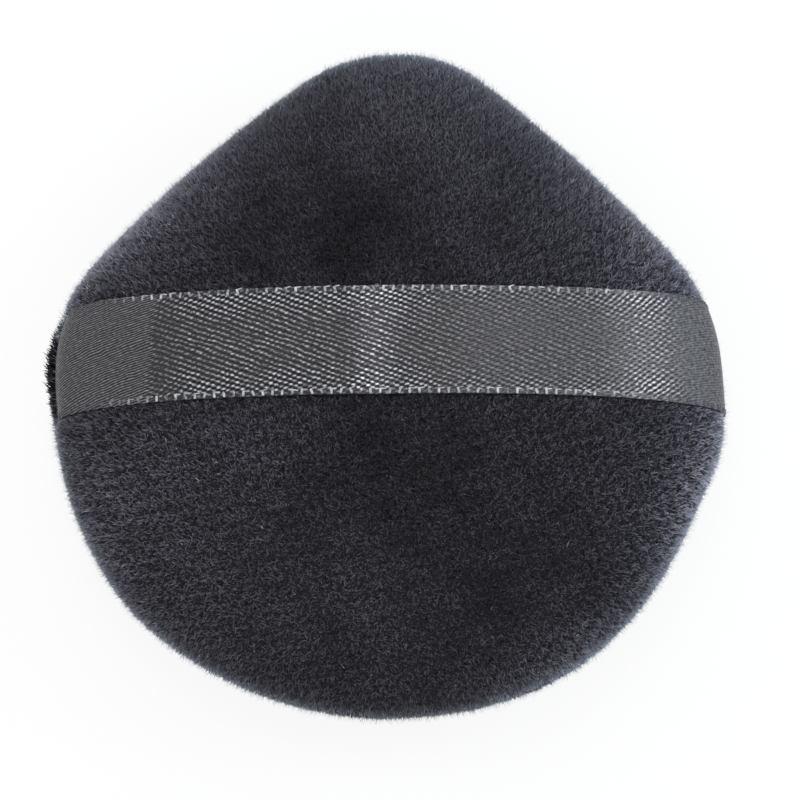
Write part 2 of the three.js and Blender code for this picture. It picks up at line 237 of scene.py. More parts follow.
# Satin weave
SATIN_TONE = 1.17               # how light the ribbon is, against the colours of its threads
FLAT_LEFT = 21 * MM             # its floats show no beads within this of its left end
FLAT_RIGHT = 15.5 * MM          # and within this of its right end
SMOOTH_PLACE = 16 * MM          # middle of a smooth stretch, right of the ribbon's middle
FLOAT_STEP = 0.54 * MM          # from bead to bead along a row
ROW_FALL = 0.22 * MM            # how far the row falls in that step
ROW_PITCH = 0.65 * MM
FLOAT_HEIGHT = 0.05 * MM
RIB_PITCH = 0.29 * MM
RIB_TURN = math.radians(15)
THREAD_STRAY = 0.36 * MM        # how far threads stray from their straight rows
STRAY_SIZE = 1.6 * MM           # sizes of the patches in which they stray together,
UNEVEN_SIZE = 0.4 * MM          # in which the floats shine alike,
WORN_SIZE = 3 * MM              # and in which the weave is worn alike

# Foam, thread and chance
FOAM_CELL = 0.6 * MM
THREAD_TWIST = 3 * MM           # coarser than the real twist, so that it shows
SEED = 7                        # start of the random numbers for the pile and the loops


def linear(code):
    """An sRGB hex colour as linear red, green and blue with alpha 1."""
    parts = [int(code[i:i + 2], 16) / 255 for i in (1, 3, 5)]
    return [c / 12.92 if c <= 0.04045 else ((c + 0.055) / 1.055) ** 2.4 for c in parts] + [1]


def add_node(tree, kind, settings=None, inputs=None, stops=()):
    """A node with its settings, its inputs set to values or linked from nodes, and its colour stops."""
    node = tree.nodes.new(kind)
    for name, value in (settings or {}).items():
        setattr(node, name, value)
    for key, value in (inputs or {}).items():
        if isinstance(value, bpy.types.Node):
            value = value.outputs[0]
        if isinstance(value, bpy.types.NodeSocket):
            tree.links.new(value, node.inputs[key])
        else:
            node.inputs[key].default_value = value
    for i, (position, code) in enumerate(stops):
        elements = node.color_ramp.elements
        element = elements[i] if i < 2 else elements.new(position)
        element.position = position
        element.color = linear(code)
    return node


def new_material(name, **values):
    """A material with one Principled shader, and its constant values by socket name."""
    material = bpy.data.materials.new(name)
    material.use_nodes = True
    tree = material.node_tree
    tree.nodes.clear()
    inputs = {key.replace("_", " "): value for key, value in values.items()}
    shader = add_node(tree, "ShaderNodeBsdfPrincipled", inputs=inputs)
    add_node(tree, "ShaderNodeOutputMaterial", inputs={"Surface": shader.outputs[0]})
    return material, tree, shader


# Outline

def edge_arcs():
    """The right-hand half of the edge as (centre, radius, end point), from the bottom to the tip."""
    shoulder_way = np.array([math.cos(SHOULDER_TURN), math.sin(SHOULDER_TURN)])
    shoulder = shoulder_way * (BODY_RADIUS - SHOULDER_RADIUS)
    tip = np.array([0, TIP_REACH - TIP_RADIUS])
    near, far = FLANK_RADIUS - SHOULDER_RADIUS, FLANK_RADIUS - TIP_RADIUS
    apart = np.linalg.norm(tip - shoulder)
    forward = (tip - shoulder) / apart
    along = (near ** 2 - far ** 2 + apart ** 2) / (2 * apart)
    aside = math.sqrt(near ** 2 - along ** 2)
    flank = shoulder + forward * along + np.array([-forward[1], forward[0]]) * aside

    def touch(centre, radius):
        way = centre - flank
        return centre + way / np.linalg.norm(way) * radius

    return [
        (np.zeros(2), BODY_RADIUS, shoulder_way * BODY_RADIUS),
        (shoulder, SHOULDER_RADIUS, touch(shoulder, SHOULDER_RADIUS)),
        (flank, FLANK_RADIUS, touch(tip, TIP_RADIUS)),
        (tip, TIP_RADIUS, np.array([0, TIP_REACH])),
    ]


ARCS = edge_arcs()


def edge_reach(turn):
    """Distance from the pad's centre to its edge in each of the given directions."""
    way = np.stack([np.abs(np.cos(turn)), np.sin(turn)], -1)
    height = np.arctan2(way[..., 1], way[..., 0])
    reach = np.zeros_like(height)
    last = -np.inf
    for centre, radius, end in ARCS:
        top = math.atan2(end[1], end[0]) + 1e-9
        across = centre[0] * way[..., 1] - centre[1] * way[..., 0]
        found = way @ centre + np.sqrt(np.maximum(radius ** 2 - across ** 2, 0))
        reach = np.where((height > last) & (height <= top), found, reach)
        last = top
    return reach


def around(turn, bumps):
    """Sum of soft bumps in the given directions, each with direction and width in degrees and a height."""
    total = np.zeros_like(turn)
    for middle, width, height in bumps:
        away = (np.degrees(turn) - middle + 180) % 360 - 180
        total += height * np.exp(-(away / width) ** 2)
    return total


def edge_stray(turn):
    """How far the sewn edge lies outside the pattern in each of the given directions."""
    return around(turn, EDGE_STRAYS)


def edge_width(y):
    """Half the pad's width at a distance from its centre towards the tip."""
    centre, radius = next((centre, radius) for centre, radius, end in ARCS if y <= end[1])
    return centre[0] + math.sqrt(radius ** 2 - (y - centre[1]) ** 2)


def sewn_edge(y, side):
    """How far the sewn edge lies from the middle at one height, on the right (1) or the left (-1)."""
    width = edge_width(y)
    return width + edge_stray(np.arctan2(y, side * width))


def back_surface(x, y):
    """Height of the back's pile surface."""
    turn = np.arctan2(y, x)
    share = np.hypot(x, y) / (edge_reach(turn) + edge_stray(turn))
    return BACK_RIM + BACK_RISE * np.maximum(1 - np.minimum(share, 1) ** FULLNESS, 0) ** (1 / FULLNESS)


def waves(places, lengths):
    """A smooth uneven pattern of about -1 to 1 from plane waves in directions turned from each other."""
    total = np.zeros(len(places))
    for i, length in enumerate(lengths):
        turn = GOLDEN_ANGLE * (i + 1)
        way = unit(np.array([math.cos(turn), math.sin(turn), WAVE_TILT * (i % 3 - 1)]))
        total += np.sin(2 * math.pi * places @ way / length + turn * i)
    return total / math.sqrt(len(lengths))


# Mesh helpers

def unit(v):
    """Vectors made one long."""
    return v / np.maximum(np.linalg.norm(v, axis=-1, keepdims=True), 1e-12)


def get_points(piece):
    """The places of a piece's vertices, one row each."""
    points = np.empty(len(piece.data.vertices) * 3)
    piece.data.vertices.foreach_get("co", points)
    return points.reshape(-1, 3)


def set_points(piece, points):
    """Moves a piece's vertices to those places."""
    piece.data.vertices.foreach_set("co", points.ravel())
    piece.data.update()


def make_active(piece):
    """Selects one piece alone, for the operators that follow."""
    bpy.ops.object.select_all(action="DESELECT")
    piece.select_set(True)
    bpy.context.view_layer.objects.active = piece


def thicken(piece, thickness, offset):
    """Gives the active sheet its thickness, inwards (-1) or outwards (1)."""
    solid = piece.modifiers.new("thickness", "SOLIDIFY")
    solid.thickness = thickness
    solid.offset = offset
    bpy.ops.object.modifier_apply(modifier=solid.name)


# Ribbon

def ribbon_line(across):
    """The ribbon's lower face along one thread, from tail to tail, at a share of its width."""
    aside = across - 0.5
    way = np.sin(np.pi * (np.linspace(0, 1, THREAD_POINTS) - 0.5))
    bowed = RIBBON_BOW * (1 - way ** 2) + RIBBON_SLANT * way
    y = RIBBON_OFFSET + aside * RIBBON_WIDTH + bowed + aside * RIBBON_FLARE * way ** 4
    x = np.where(way < 0, sewn_edge(y[0], -1), sewn_edge(y[-1], 1)) * way
    probe = 0.02 * MM
    slope_x = (back_surface(x + probe, y) - back_surface(x - probe, y)) / (2 * probe)
    slope_y = (back_surface(x, y + probe) - back_surface(x, y - probe)) / (2 * probe)
    normals = unit(np.stack([-slope_x, -slope_y, np.ones_like(x)], 1))
    normals[0] = (-1, 0, 0)
    normals[-1] = (1, 0, 0)
    lifted = waves(np.stack([x, y, np.zeros_like(x)], 1), RIBBON_WAVE_LENGTHS)
    slack = RIBBON_WAVE * (1 - way ** 2) * lifted
    sunk = RIBBON_SINK + np.where(way < 0, LEFT_PULL, RIGHT_PULL) * way ** 4 - slack
    over = np.stack([x, y, back_surface(x, y)], 1) - normals * sunk[:, None]
    inner = over[[0, -1], 0] + np.array([RIBBON_TAIL, -RIBBON_TAIL])
    left = [(inner[0], y[0], SEAM_HEIGHT), (over[0, 0], y[0], SEAM_HEIGHT)]
    right = [(over[-1, 0], y[-1], SEAM_HEIGHT), (inner[1], y[-1], SEAM_HEIGHT)]
    return np.concatenate([left, over, right]) + np.array([0, CENTRE_Y, 0])


def at_share(line, share):
    """Points at shares of a line's length, and that length."""
    gone = np.concatenate([[0], np.cumsum(np.linalg.norm(np.diff(line, axis=0), axis=1))])
    return np.stack([np.interp(share * gone[-1], gone, line[:, i]) for i in range(3)], -1), gone[-1]


def ribbon_band():
    """The ribbon as a thin sheet over the back, turned into the seam, and the length of its upper edge."""
    bpy.ops.object.select_all(action="DESELECT")
    bpy.ops.mesh.primitive_grid_add(x_subdivisions=RIBBON_STEPS, y_subdivisions=RIBBON_STRIPS, size=2)
    piece = bpy.context.object
    piece.name = "satin_ribbon"
    flat = (get_points(piece) + 1) / 2
    shaped = np.empty_like(flat)
    for share in np.unique(flat[:, 1].round(5)):
        here = np.abs(flat[:, 1] - share) < 1e-4
        shaped[here], length = at_share(ribbon_line(share), flat[here, 0])
    set_points(piece, shaped)
    return piece, length


def ribbon_tree(piece):
    """The ribbon's lower face for finding what lies under it, without the tails in the seam."""
    mesh = piece.data
    laid = [p.vertices for p in mesh.polygons if p.normal.z > TAIL_NORMAL]
    return BVHTree.FromPolygons([v.co for v in mesh.vertices], laid)


def press_under(points, tree, gap, slope, reach):
    """Keeps points under the ribbon's lower face by a gap, which eases off beside its edges."""
    for i, point in enumerate(points):
        near, normal, _, _ = tree.find_nearest(Vector(point), reach)
        if near is None:
            continue
        away = Vector(point) - near
        high = away.dot(normal)
        aside = (away - normal * high).length
        over = high + gap - slope * aside
        if over > 0:
            points[i] = Vector(point) - normal * over
    return points


def loop_shape():
    """One small rounded bar across the selvedge, as points and faces."""
    bpy.ops.object.select_all(action="DESELECT")
    bpy.ops.mesh.primitive_cube_add(size=1)
    bar = bpy.context.object
    bpy.ops.object.mode_set(mode="EDIT")
    bpy.ops.mesh.select_all(action="SELECT")
    size = (LOOP_WIDTH, SELVEDGE_WIDTH, RIBBON_THICKNESS + 2 * LOOP_STANDS_OUT)
    bpy.ops.transform.resize(value=size, center_override=(0, 0, 0))
    bpy.ops.mesh.bevel(offset=LOOP_ROUNDING, segments=1, affect="EDGES")
    bpy.ops.object.mode_set(mode="OBJECT")
    shape = get_points(bar)
    faces = [tuple(p.vertices) for p in bar.data.polygons]
    bpy.data.objects.remove(bar)
    return shape, faces


def loop_places(edge, rng):
    """Middles of the loops along one edge of the ribbon, and their ways along it, across it and up."""
    inward = 1 if edge == 0 else -1
    outer = ribbon_line(edge)
    middle = ribbon_line(edge + inward * 0.5 * SELVEDGE_WIDTH / RIBBON_WIDTH)
    length = at_share(outer, 0)[1]
    count = int((length - 2 * RIBBON_TAIL) / LOOP_PITCH)
    shares = (RIBBON_TAIL + LOOP_PITCH * (np.arange(count) + 0.5)) / length
    step = 0.05 * MM / length
    places = at_share(middle, shares)[0]
    along = unit(at_share(middle, shares + step)[0] - at_share(middle, shares - step)[0])
    across = unit(places - at_share(outer, shares)[0]) * inward
    across = unit(across - along * (across * along).sum(1, keepdims=True))
    up = np.cross(along, across)
    across = unit(across + along * LOOP_STRAY * rng.standard_normal((count, 1)))
    return places, np.cross(across, up), across, up


def selvedge_loops(rng):
    """Weft loops that wrap the ribbon's two edges, most of them with a hook to the next one."""
    shape, faces = loop_shape()
    hook = shape * np.array([HOOK_LENGTH / LOOP_WIDTH, HOOK_WIDTH / SELVEDGE_WIDTH, HOOK_FLATTER])
    points, polygons = [], []
    for edge in (0, 1):
        places, along, across, up = loop_places(edge, rng)
        aside = HOOK_ASIDE * across + HOOK_LENGTH / 2 * along
        bars = [(i, place, shape) for i, place in enumerate(places)]
        hooks = [(i, place + aside[i], hook) for i, place, _ in bars if rng.random() < HOOK_SHARE]
        for i, place, form in bars + hooks:
            start = len(points)
            turned = form[:, :1] * along[i] + form[:, 1:2] * across[i] + form[:, 2:] * up[i]
            points.extend(place + turned + up[i] * RIBBON_THICKNESS / 2)
            polygons.extend(tuple(start + v for v in face) for face in faces)
    mesh = bpy.data.meshes.new("ribbon_selvedge_loops")
    mesh.from_pydata(points, [], polygons)
    mesh.shade_smooth()
    loops = bpy.data.objects.new("ribbon_selvedge_loops", mesh)
    bpy.context.collection.objects.link(loops)
    return loops


# Panels

def half_ball(name):
    """Half of a ball with even four-sided faces, cut at z 0."""
    bpy.ops.object.select_all(action="DESELECT")
    bpy.ops.mesh.primitive_cube_add(size=2)
    panel = bpy.context.object
    panel.name = name
    bpy.ops.object.mode_set(mode="EDIT")
    bpy.ops.mesh.select_all(action="SELECT")
    bpy.ops.mesh.subdivide(number_cuts=PANEL_CUTS)
    bpy.ops.mesh.bisect(plane_co=(0, 0, 0), plane_no=(0, 0, 1), clear_inner=True)
    bpy.ops.object.mode_set(mode="OBJECT")
    set_points(panel, unit(np.tan(get_points(panel) * math.pi / 4)))
    return panel


def dome(name, rim, rise, side):
    """One panel of the cover as an open dome under its tufts, a little smaller than the filled pad."""
    panel = half_ball(name)
    ball = get_points(panel)
    turn = np.arctan2(ball[:, 1], ball[:, 0])
    out = np.clip(np.hypot(ball[:, 0], ball[:, 1]), 0, 1) ** (2 / FULLNESS)
    up = np.clip(ball[:, 2], 0, 1) ** (2 / FULLNESS)
    reach = (edge_reach(turn) + edge_stray(turn) - TUFT_HEIGHT - SIDE_SWELL) * out
    shaped = np.stack([reach * np.cos(turn), reach * np.sin(turn) + CENTRE_Y, np.zeros(len(ball))], -1)
    filled = rise - TUFT_HEIGHT + UNEVEN_FILLING * waves(shaped, FILLING_LENGTHS)
    shaped[:, 2] = rim + side * (up * filled - CROWN_SWELL * up ** 4)
    set_points(panel, shaped)
    if side < 0:
        panel.data.flip_normals()
    return panel


def swell(panel, rim):
    """Lets the cover swell over its foam as simulated cloth, held at the seam."""
    scene = bpy.context.scene
    slack = get_points(panel)
    seam = panel.vertex_groups.new(name="seam")
    sewn = np.where(np.abs(slack[:, 2] - rim) < ON_RIM)[0]
    seam.add([int(i) for i in sewn], 1.0, "REPLACE")
    cloth = panel.modifiers.new("swelling", "CLOTH")
    cloth.settings.vertex_group_mass = seam.name
    cloth.settings.use_pressure = True
    cloth.settings.uniform_pressure_force = SWELL_PRESSURE
    cloth.settings.effector_weights.gravity = 0
    cloth.settings.tension_stiffness = KNIT_STIFFNESS
    cloth.settings.compression_stiffness = KNIT_STIFFNESS
    cloth.settings.bending_stiffness = PILE_STIFFNESS
    for step in range(1, SWELL_FRAMES + 1):
        scene.frame_set(step)
    make_active(panel)
    bpy.ops.object.modifier_apply(modifier=cloth.name)
    scene.frame_set(1)
    moved = get_points(panel) - slack
    far = np.linalg.norm(moved, axis=1, keepdims=True)
    set_points(panel, slack + moved * np.minimum(1, SWELL_LIMIT / np.maximum(far, 1e-9)))
    smooth = panel.modifiers.new("smooth", "SUBSURF")
    smooth.levels = smooth.render_levels = 1
    bpy.ops.object.modifier_apply(modifier=smooth.name)
    bpy.ops.object.shade_smooth()


def finish_panel(panel, rim):
    """Turns the rim in as a seam allowance and gives the cloth its thickness."""
    make_active(panel)
    bpy.ops.object.mode_set(mode="EDIT")
    bpy.ops.mesh.select_mode(type="EDGE")
    bpy.ops.mesh.select_all(action="DESELECT")
    bpy.ops.mesh.select_non_manifold(extend=False, use_wire=False, use_boundary=True,
                                     use_multi_face=False, use_non_contiguous=False, use_verts=False)
    bpy.ops.mesh.extrude_region_move()
    inward = 1 - SEAM_ALLOWANCE / BODY_RADIUS
    bpy.ops.transform.resize(value=(inward, inward, 1), center_override=(0, CENTRE_Y, rim))
    bpy.ops.object.mode_set(mode="OBJECT")
    thicken(panel, CLOTH_THICKNESS + PILE_BODY, -1)


def foam_core():
    """The die-cut foam that fills the cover, rounded by the seam all round."""
    bpy.ops.object.select_all(action="DESELECT")
    bpy.ops.mesh.primitive_uv_sphere_add(segments=96, ring_count=48, radius=1)
    core = bpy.context.object
    core.name = "foam_filling"
    ball = get_points(core)
    turn = np.arctan2(ball[:, 1], ball[:, 0])
    out = np.clip(np.hypot(ball[:, 0], ball[:, 1]), 0, 1) ** (2 / FULLNESS)
    up = np.abs(ball[:, 2]) ** (2 / FULLNESS)
    inset = BODY_RADIUS - (CORE_HIGH.x - CORE_LOW.x) / 2 + CORE_SLACK
    reach = (edge_reach(turn) - inset) * out
    top, bottom = CORE_HIGH.z - CORE_SLACK - SEAM_HEIGHT, CORE_LOW.z + CORE_SLACK - SEAM_HEIGHT
    rise = np.where(ball[:, 2] > 0, top, bottom)
    shaped = np.stack([reach * np.cos(turn), reach * np.sin(turn) + CENTRE_Y, SEAM_HEIGHT + rise * up], -1)
    set_points(core, shaped)
    bpy.ops.object.shade_smooth()
    return core


# Pile

def surface_arrays(panel):
    """Corner places and normals of a panel's triangles."""
    mesh = panel.data
    mesh.calc_loop_triangles()
    corners = np.empty(len(mesh.loop_triangles) * 3, np.int64)
    mesh.loop_triangles.foreach_get("vertices", corners)
    normals = np.empty(len(mesh.vertices) * 3)
    mesh.vertex_normals.foreach_get("vector", normals)
    corners = corners.reshape(-1, 3)
    return get_points(panel)[corners], normals.reshape(-1, 3)[corners]


def scatter(panel, rng):
    """A place on the panel for each tuft, with the surface's normal there."""
    places, normals = surface_arrays(panel)
    area = np.linalg.norm(np.cross(places[:, 1] - places[:, 0], places[:, 2] - places[:, 0]), axis=1) / 2
    count = int(area.sum() / TUFT_PITCH ** 2)
    steps = (np.arange(count) + rng.random(count)) / count
    chosen = np.minimum(np.searchsorted(np.cumsum(area) / area.sum(), steps), len(area) - 1)
    a, b = rng.random(count), rng.random(count)
    over = a + b > 1
    a[over], b[over] = 1 - a[over], 1 - b[over]
    weights = np.stack([1 - a - b, a, b], 1)[:, :, None]
    found, upright = (places[chosen] * weights).sum(1), unit((normals[chosen] * weights).sum(1))
    course = np.round(found[:, 1] / COURSE_PITCH) * COURSE_PITCH
    flat = np.interp(np.abs(upright[:, 2]), COURSE_FADE, (0, 1))
    found[:, 1] += COURSE_PULL * flat * (course - found[:, 1])
    return found, upright


def nap(places, normals):
    """How the pile lies: the way each tuft leans in the plan, as a slope, its shade with painted sheen and
    shade in it, and how it clumps.
    """
    out = (places - np.array([0, CENTRE_Y, 0])) * np.array([1, 1, 0])
    turn = NAP_WAY + NAP_SWIRL * waves(places, SWIRL_LENGTHS)
    brushed = np.stack([np.cos(turn), np.sin(turn), np.zeros_like(turn)], 1)
    shade = 1 + CLOUD_TONE * waves(places, CLOUD_LENGTHS)
    for x, y, radius, change in NAP_AND_PAINTED_LIGHT_PATCHES:
        shade += change * np.exp(-((out[:, 0] - x) ** 2 + (out[:, 1] - y) ** 2) / radius ** 2)
    direction = np.arctan2(out[:, 1], out[:, 0])
    inside = edge_reach(direction) + edge_stray(direction) - np.hypot(out[:, 0], out[:, 1])
    # Painted sheen along the rim, fading as the surface turns down
    facing = np.interp(normals[:, 2], RIM_FADE, (0, 1))
    shade += facing * around(direction, PAINTED_RIM_SHEEN) * np.exp(-np.maximum(inside, 0) / RIM_REACH)
    clumps = waves(places, CLUMP_LENGTHS)
    return NAP_LEAN * brushed + OUTWARD_LEAN * out / BODY_RADIUS, shade, clumps


def tufts(panel, rng):
    """The pile as roots, tips, root radii, tones and normals: dense tufts, with loose fibres above them."""
    places, normals = scatter(panel, rng)
    count = len(places)
    lean, shade, clumps = nap(places, normals)
    lean += STRAY_LEAN * rng.standard_normal((count, 3))
    lean -= normals * (lean * normals).sum(1, keepdims=True)
    # The longer pile hangs below the seam, and ends sooner downwards than along it
    below = places[:, 2] < SEAM_HEIGHT
    long = np.zeros(count)
    for x, y, radius, more in LONG_PILE:
        away = (places - np.array([x, y + CENTRE_Y, SEAM_HEIGHT])) * np.array([1, 1, LONG_SHALLOWER])
        long += below * more * np.exp(-(away ** 2).sum(1) / radius ** 2)
    # Painted shade in the longer pile
    shade *= 1 - LONG_PAINTED_SHADE * np.minimum(long, 1)
    lean[:, 1] += LONG_LEAN * long
    loose = (rng.random(count) < LOOSE_SHARE) & (long < LONG_CLEAR)
    uneven_height = 1 + CLUMP_HEIGHT * clumps + STRAY_HEIGHT * rng.standard_normal(count)
    high = TUFT_HEIGHT * (1 + long) * np.where(loose, LOOSE_REACH, 1.0) * uneven_height
    # A few fibres get a painted glint
    painted_glint = rng.random(count) > 1 - GLINT_SHARE
    mottled = np.interp(places[:, 1], MOTTLE_PLACES, MOTTLE)
    uneven = mottled * (STRAY_TONE * (2 * rng.random(count) - 1) + CLUMP_TONE * clumps)
    facing = normals + STRAY_NORMAL * rng.standard_normal((count, 3))
    facing[:, 2] += LONG_NORMAL * long
    return {
        "roots": places - normals * ROOT_DEPTH,
        "tips": places + high[:, None] * (normals + lean),
        "radii": np.where(loose, LOOSE_RADIUS, FIBRE_RADIUS * (1 + LONG_THICKER * long)),
        "tones": shade * np.maximum(1 + uneven, LEAST_TONE) * np.where(painted_glint, PAINTED_GLINT_TONE, 1.0),
        "normals": unit(facing),
    }


def add_map(mesh, name, places):
    """A UV map with a place for each corner of the mesh's faces."""
    layer = mesh.uv_layers.new(name=name)
    layer.data.foreach_set("uv", places.ravel().astype(np.float32))


def fibre_mesh(name, pile, material, rng):
    """One mesh of closed three-sided tufts, each narrowing to a point and lit by its own normal."""
    roots, tips = pile["roots"], pile["tips"]
    count = len(roots)
    axis = unit(tips - roots)
    helper = np.where(np.abs(axis[:, 2:]) < 0.9, [[0, 0, 1.0]], [[1.0, 0, 0]])
    a = unit(np.cross(axis, helper))
    b = np.cross(axis, a)
    turn = rng.random(count)[:, None] * 2 * math.pi
    points = np.empty((count, 4, 3))
    for i in range(3):
        angle = turn + i * 2 * math.pi / 3
        points[:, i] = roots + pile["radii"][:, None] * (a * np.cos(angle) + b * np.sin(angle))
    points[:, 3] = tips
    faces = np.array([[0, 1, 3], [1, 2, 3], [2, 0, 3], [0, 2, 1]])
    corners = faces + 4 * np.arange(count)[:, None, None]
    mesh = bpy.data.meshes.new(name)
    mesh.vertices.add(count * 4)
    mesh.vertices.foreach_set("co", points.ravel())
    mesh.loops.add(count * 12)
    mesh.loops.foreach_set("vertex_index", corners.ravel().astype(np.int32))
    mesh.polygons.add(count * 4)
    mesh.polygons.foreach_set("loop_start", np.arange(count * 4, dtype=np.int32) * 3)
    mesh.update(calc_edges=True)
    mesh.shade_smooth()
    mesh.normals_split_custom_set_from_vertices(np.repeat(pile["normals"], 4, axis=0))
    along = np.broadcast_to(faces == 3, corners.shape)
    tone = np.broadcast_to(np.clip(pile["tones"] / MOST_TONE, 0, 1)[:, None, None], corners.shape)
    add_map(mesh, "pile", np.stack([along, tone], -1))
    cells = math.ceil(math.sqrt(count))
    cell = np.stack([np.arange(count) % cells, np.arange(count) // cells], -1)
    add_map(mesh, "OFBake", (cell[:, None, None] + np.array(TUFT_CELL)[faces]) / cells)
    mesh.materials.append(material)
    piece = bpy.data.objects.new(name, mesh)
    bpy.context.collection.objects.link(piece)
    return piece


def pile_pieces(name, pile, material, rng):
    """The pile in bands across the pad, each small enough for one piece."""
    parts = math.ceil(len(pile["roots"]) / MOST_TUFTS)
    order = np.argsort(pile["roots"][:, 1])
    return [
        fibre_mesh(f"{name}_{i + 1}", {key: values[band] for key, values in pile.items()}, material, rng)
        for i, band in enumerate(np.array_split(order, parts))
    ]


# Materials

def velour_pile():
    """Black polyester velour with painted shade towards the tufts' roots, greyer at the cut tips, softly
    shining at the rim by its sheen and by painted sheen.
    """
    material, tree, shader = new_material(
        "black_polyester_velour_pile", Roughness=0.8, Specular_IOR_Level=0.0,
        Sheen_Weight=1.0, Sheen_Roughness=0.36, Sheen_Tint=linear("#d6e0ea"))
    where = add_node(tree, "ShaderNodeUVMap", {"uv_map": "pile"})
    parts = add_node(tree, "ShaderNodeSeparateXYZ", inputs={0: where})
    tone = add_node(tree, "ShaderNodeMath", {"operation": "MULTIPLY"}, {0: parts.outputs[1], 1: MOST_TONE})
    # Each tuft darkens towards its root: painted shade, for the light gets lost among the tufts
    colour = add_node(tree, "ShaderNodeValToRGB", inputs={"Fac": parts.outputs[0]},
                      stops=((0, "#151418"), (0.4, "#39373c"), (1, "#5d5b62")))
    shaded = add_node(tree, "ShaderNodeVectorMath", {"operation": "SCALE"}, {0: colour, "Scale": tone})
    tree.links.new(shaded.outputs[0], shader.inputs["Base Color"])
    return material


def velour_body():
    """The pile's dense lower part over its knitted ground: matt black, with the grain of packed fibres."""
    material, tree, shader = new_material(
        "black_polyester_velour_body", Roughness=0.8, Specular_IOR_Level=0.3)
    where = add_node(tree, "ShaderNodeTexCoord")
    fibres = add_node(tree, "ShaderNodeTexNoise",
                      inputs={"Vector": where.outputs["Object"], "Scale": 1 / TUFT_PITCH, "Detail": 1.0})
    colour = add_node(tree, "ShaderNodeValToRGB", inputs={"Fac": fibres},
                      stops=((0.3, "#0f0e10"), (0.7, "#222024")))
    tree.links.new(colour.outputs[0], shader.inputs["Base Color"])
    return material


def beads_shown(tree, length, place, along, aside, uneven):
    """How clearly the floats show: not at the ends, less in a smooth stretch, most beside the selvedges."""
    left, right = FLAT_LEFT, length - FLAT_RIGHT
    edge = RIBBON_WIDTH / 2 - SELVEDGE_WIDTH
    worn = add_node(tree, "ShaderNodeTexNoise",
                    inputs={"Vector": place, "Scale": 1 / WORN_SIZE, "Detail": 2.0})
    apart = add_node(tree, "ShaderNodeMath", {"operation": "SUBTRACT"},
                     {0: along, 1: length / 2 + SMOOTH_PLACE})
    far = add_node(tree, "ShaderNodeMath", {"operation": "ABSOLUTE"}, {0: apart})
    smooth = add_node(tree, "ShaderNodeMapRange", {"interpolation_type": "SMOOTHSTEP"},
                      {0: far, "From Min": 7 * MM, "From Max": 15 * MM, "To Min": 0.36, "To Max": 1.0})
    beside = add_node(tree, "ShaderNodeMapRange", {"interpolation_type": "SMOOTHSTEP"},
                      {0: aside, "From Min": 0.5 * edge, "From Max": 0.9 * edge, "To Max": 0.5})
    shown = add_node(tree, "ShaderNodeMath", {"operation": "MAXIMUM"}, {0: smooth, 1: beside})
    for value, start, end, low, high in (
        (along, left - 0.6 * MM, left + 0.6 * MM, 0.0, 1.0),
        (along, left, left + 7 * MM, 0.5, 1.0),
        (along, right - 3 * MM, right + 3 * MM, 1.0, 0.0),
        (aside, 0.3 * edge, 0.9 * edge, 0.75, 1.1),
        (aside, edge, edge + 0.3 * MM, 1.0, 0.3),
        (worn, 0.35, 0.65, 0.65, 1.05),
        (uneven, 0.3, 0.7, 0.4, 1.3),
    ):
        veil = add_node(tree, "ShaderNodeMapRange", {"interpolation_type": "SMOOTHSTEP"},
                        {0: value, "From Min": start, "From Max": end, "To Min": low, "To Max": high})
        shown = add_node(tree, "ShaderNodeMath", {"operation": "MULTIPLY"}, {0: shown, 1: veil})
    return shown


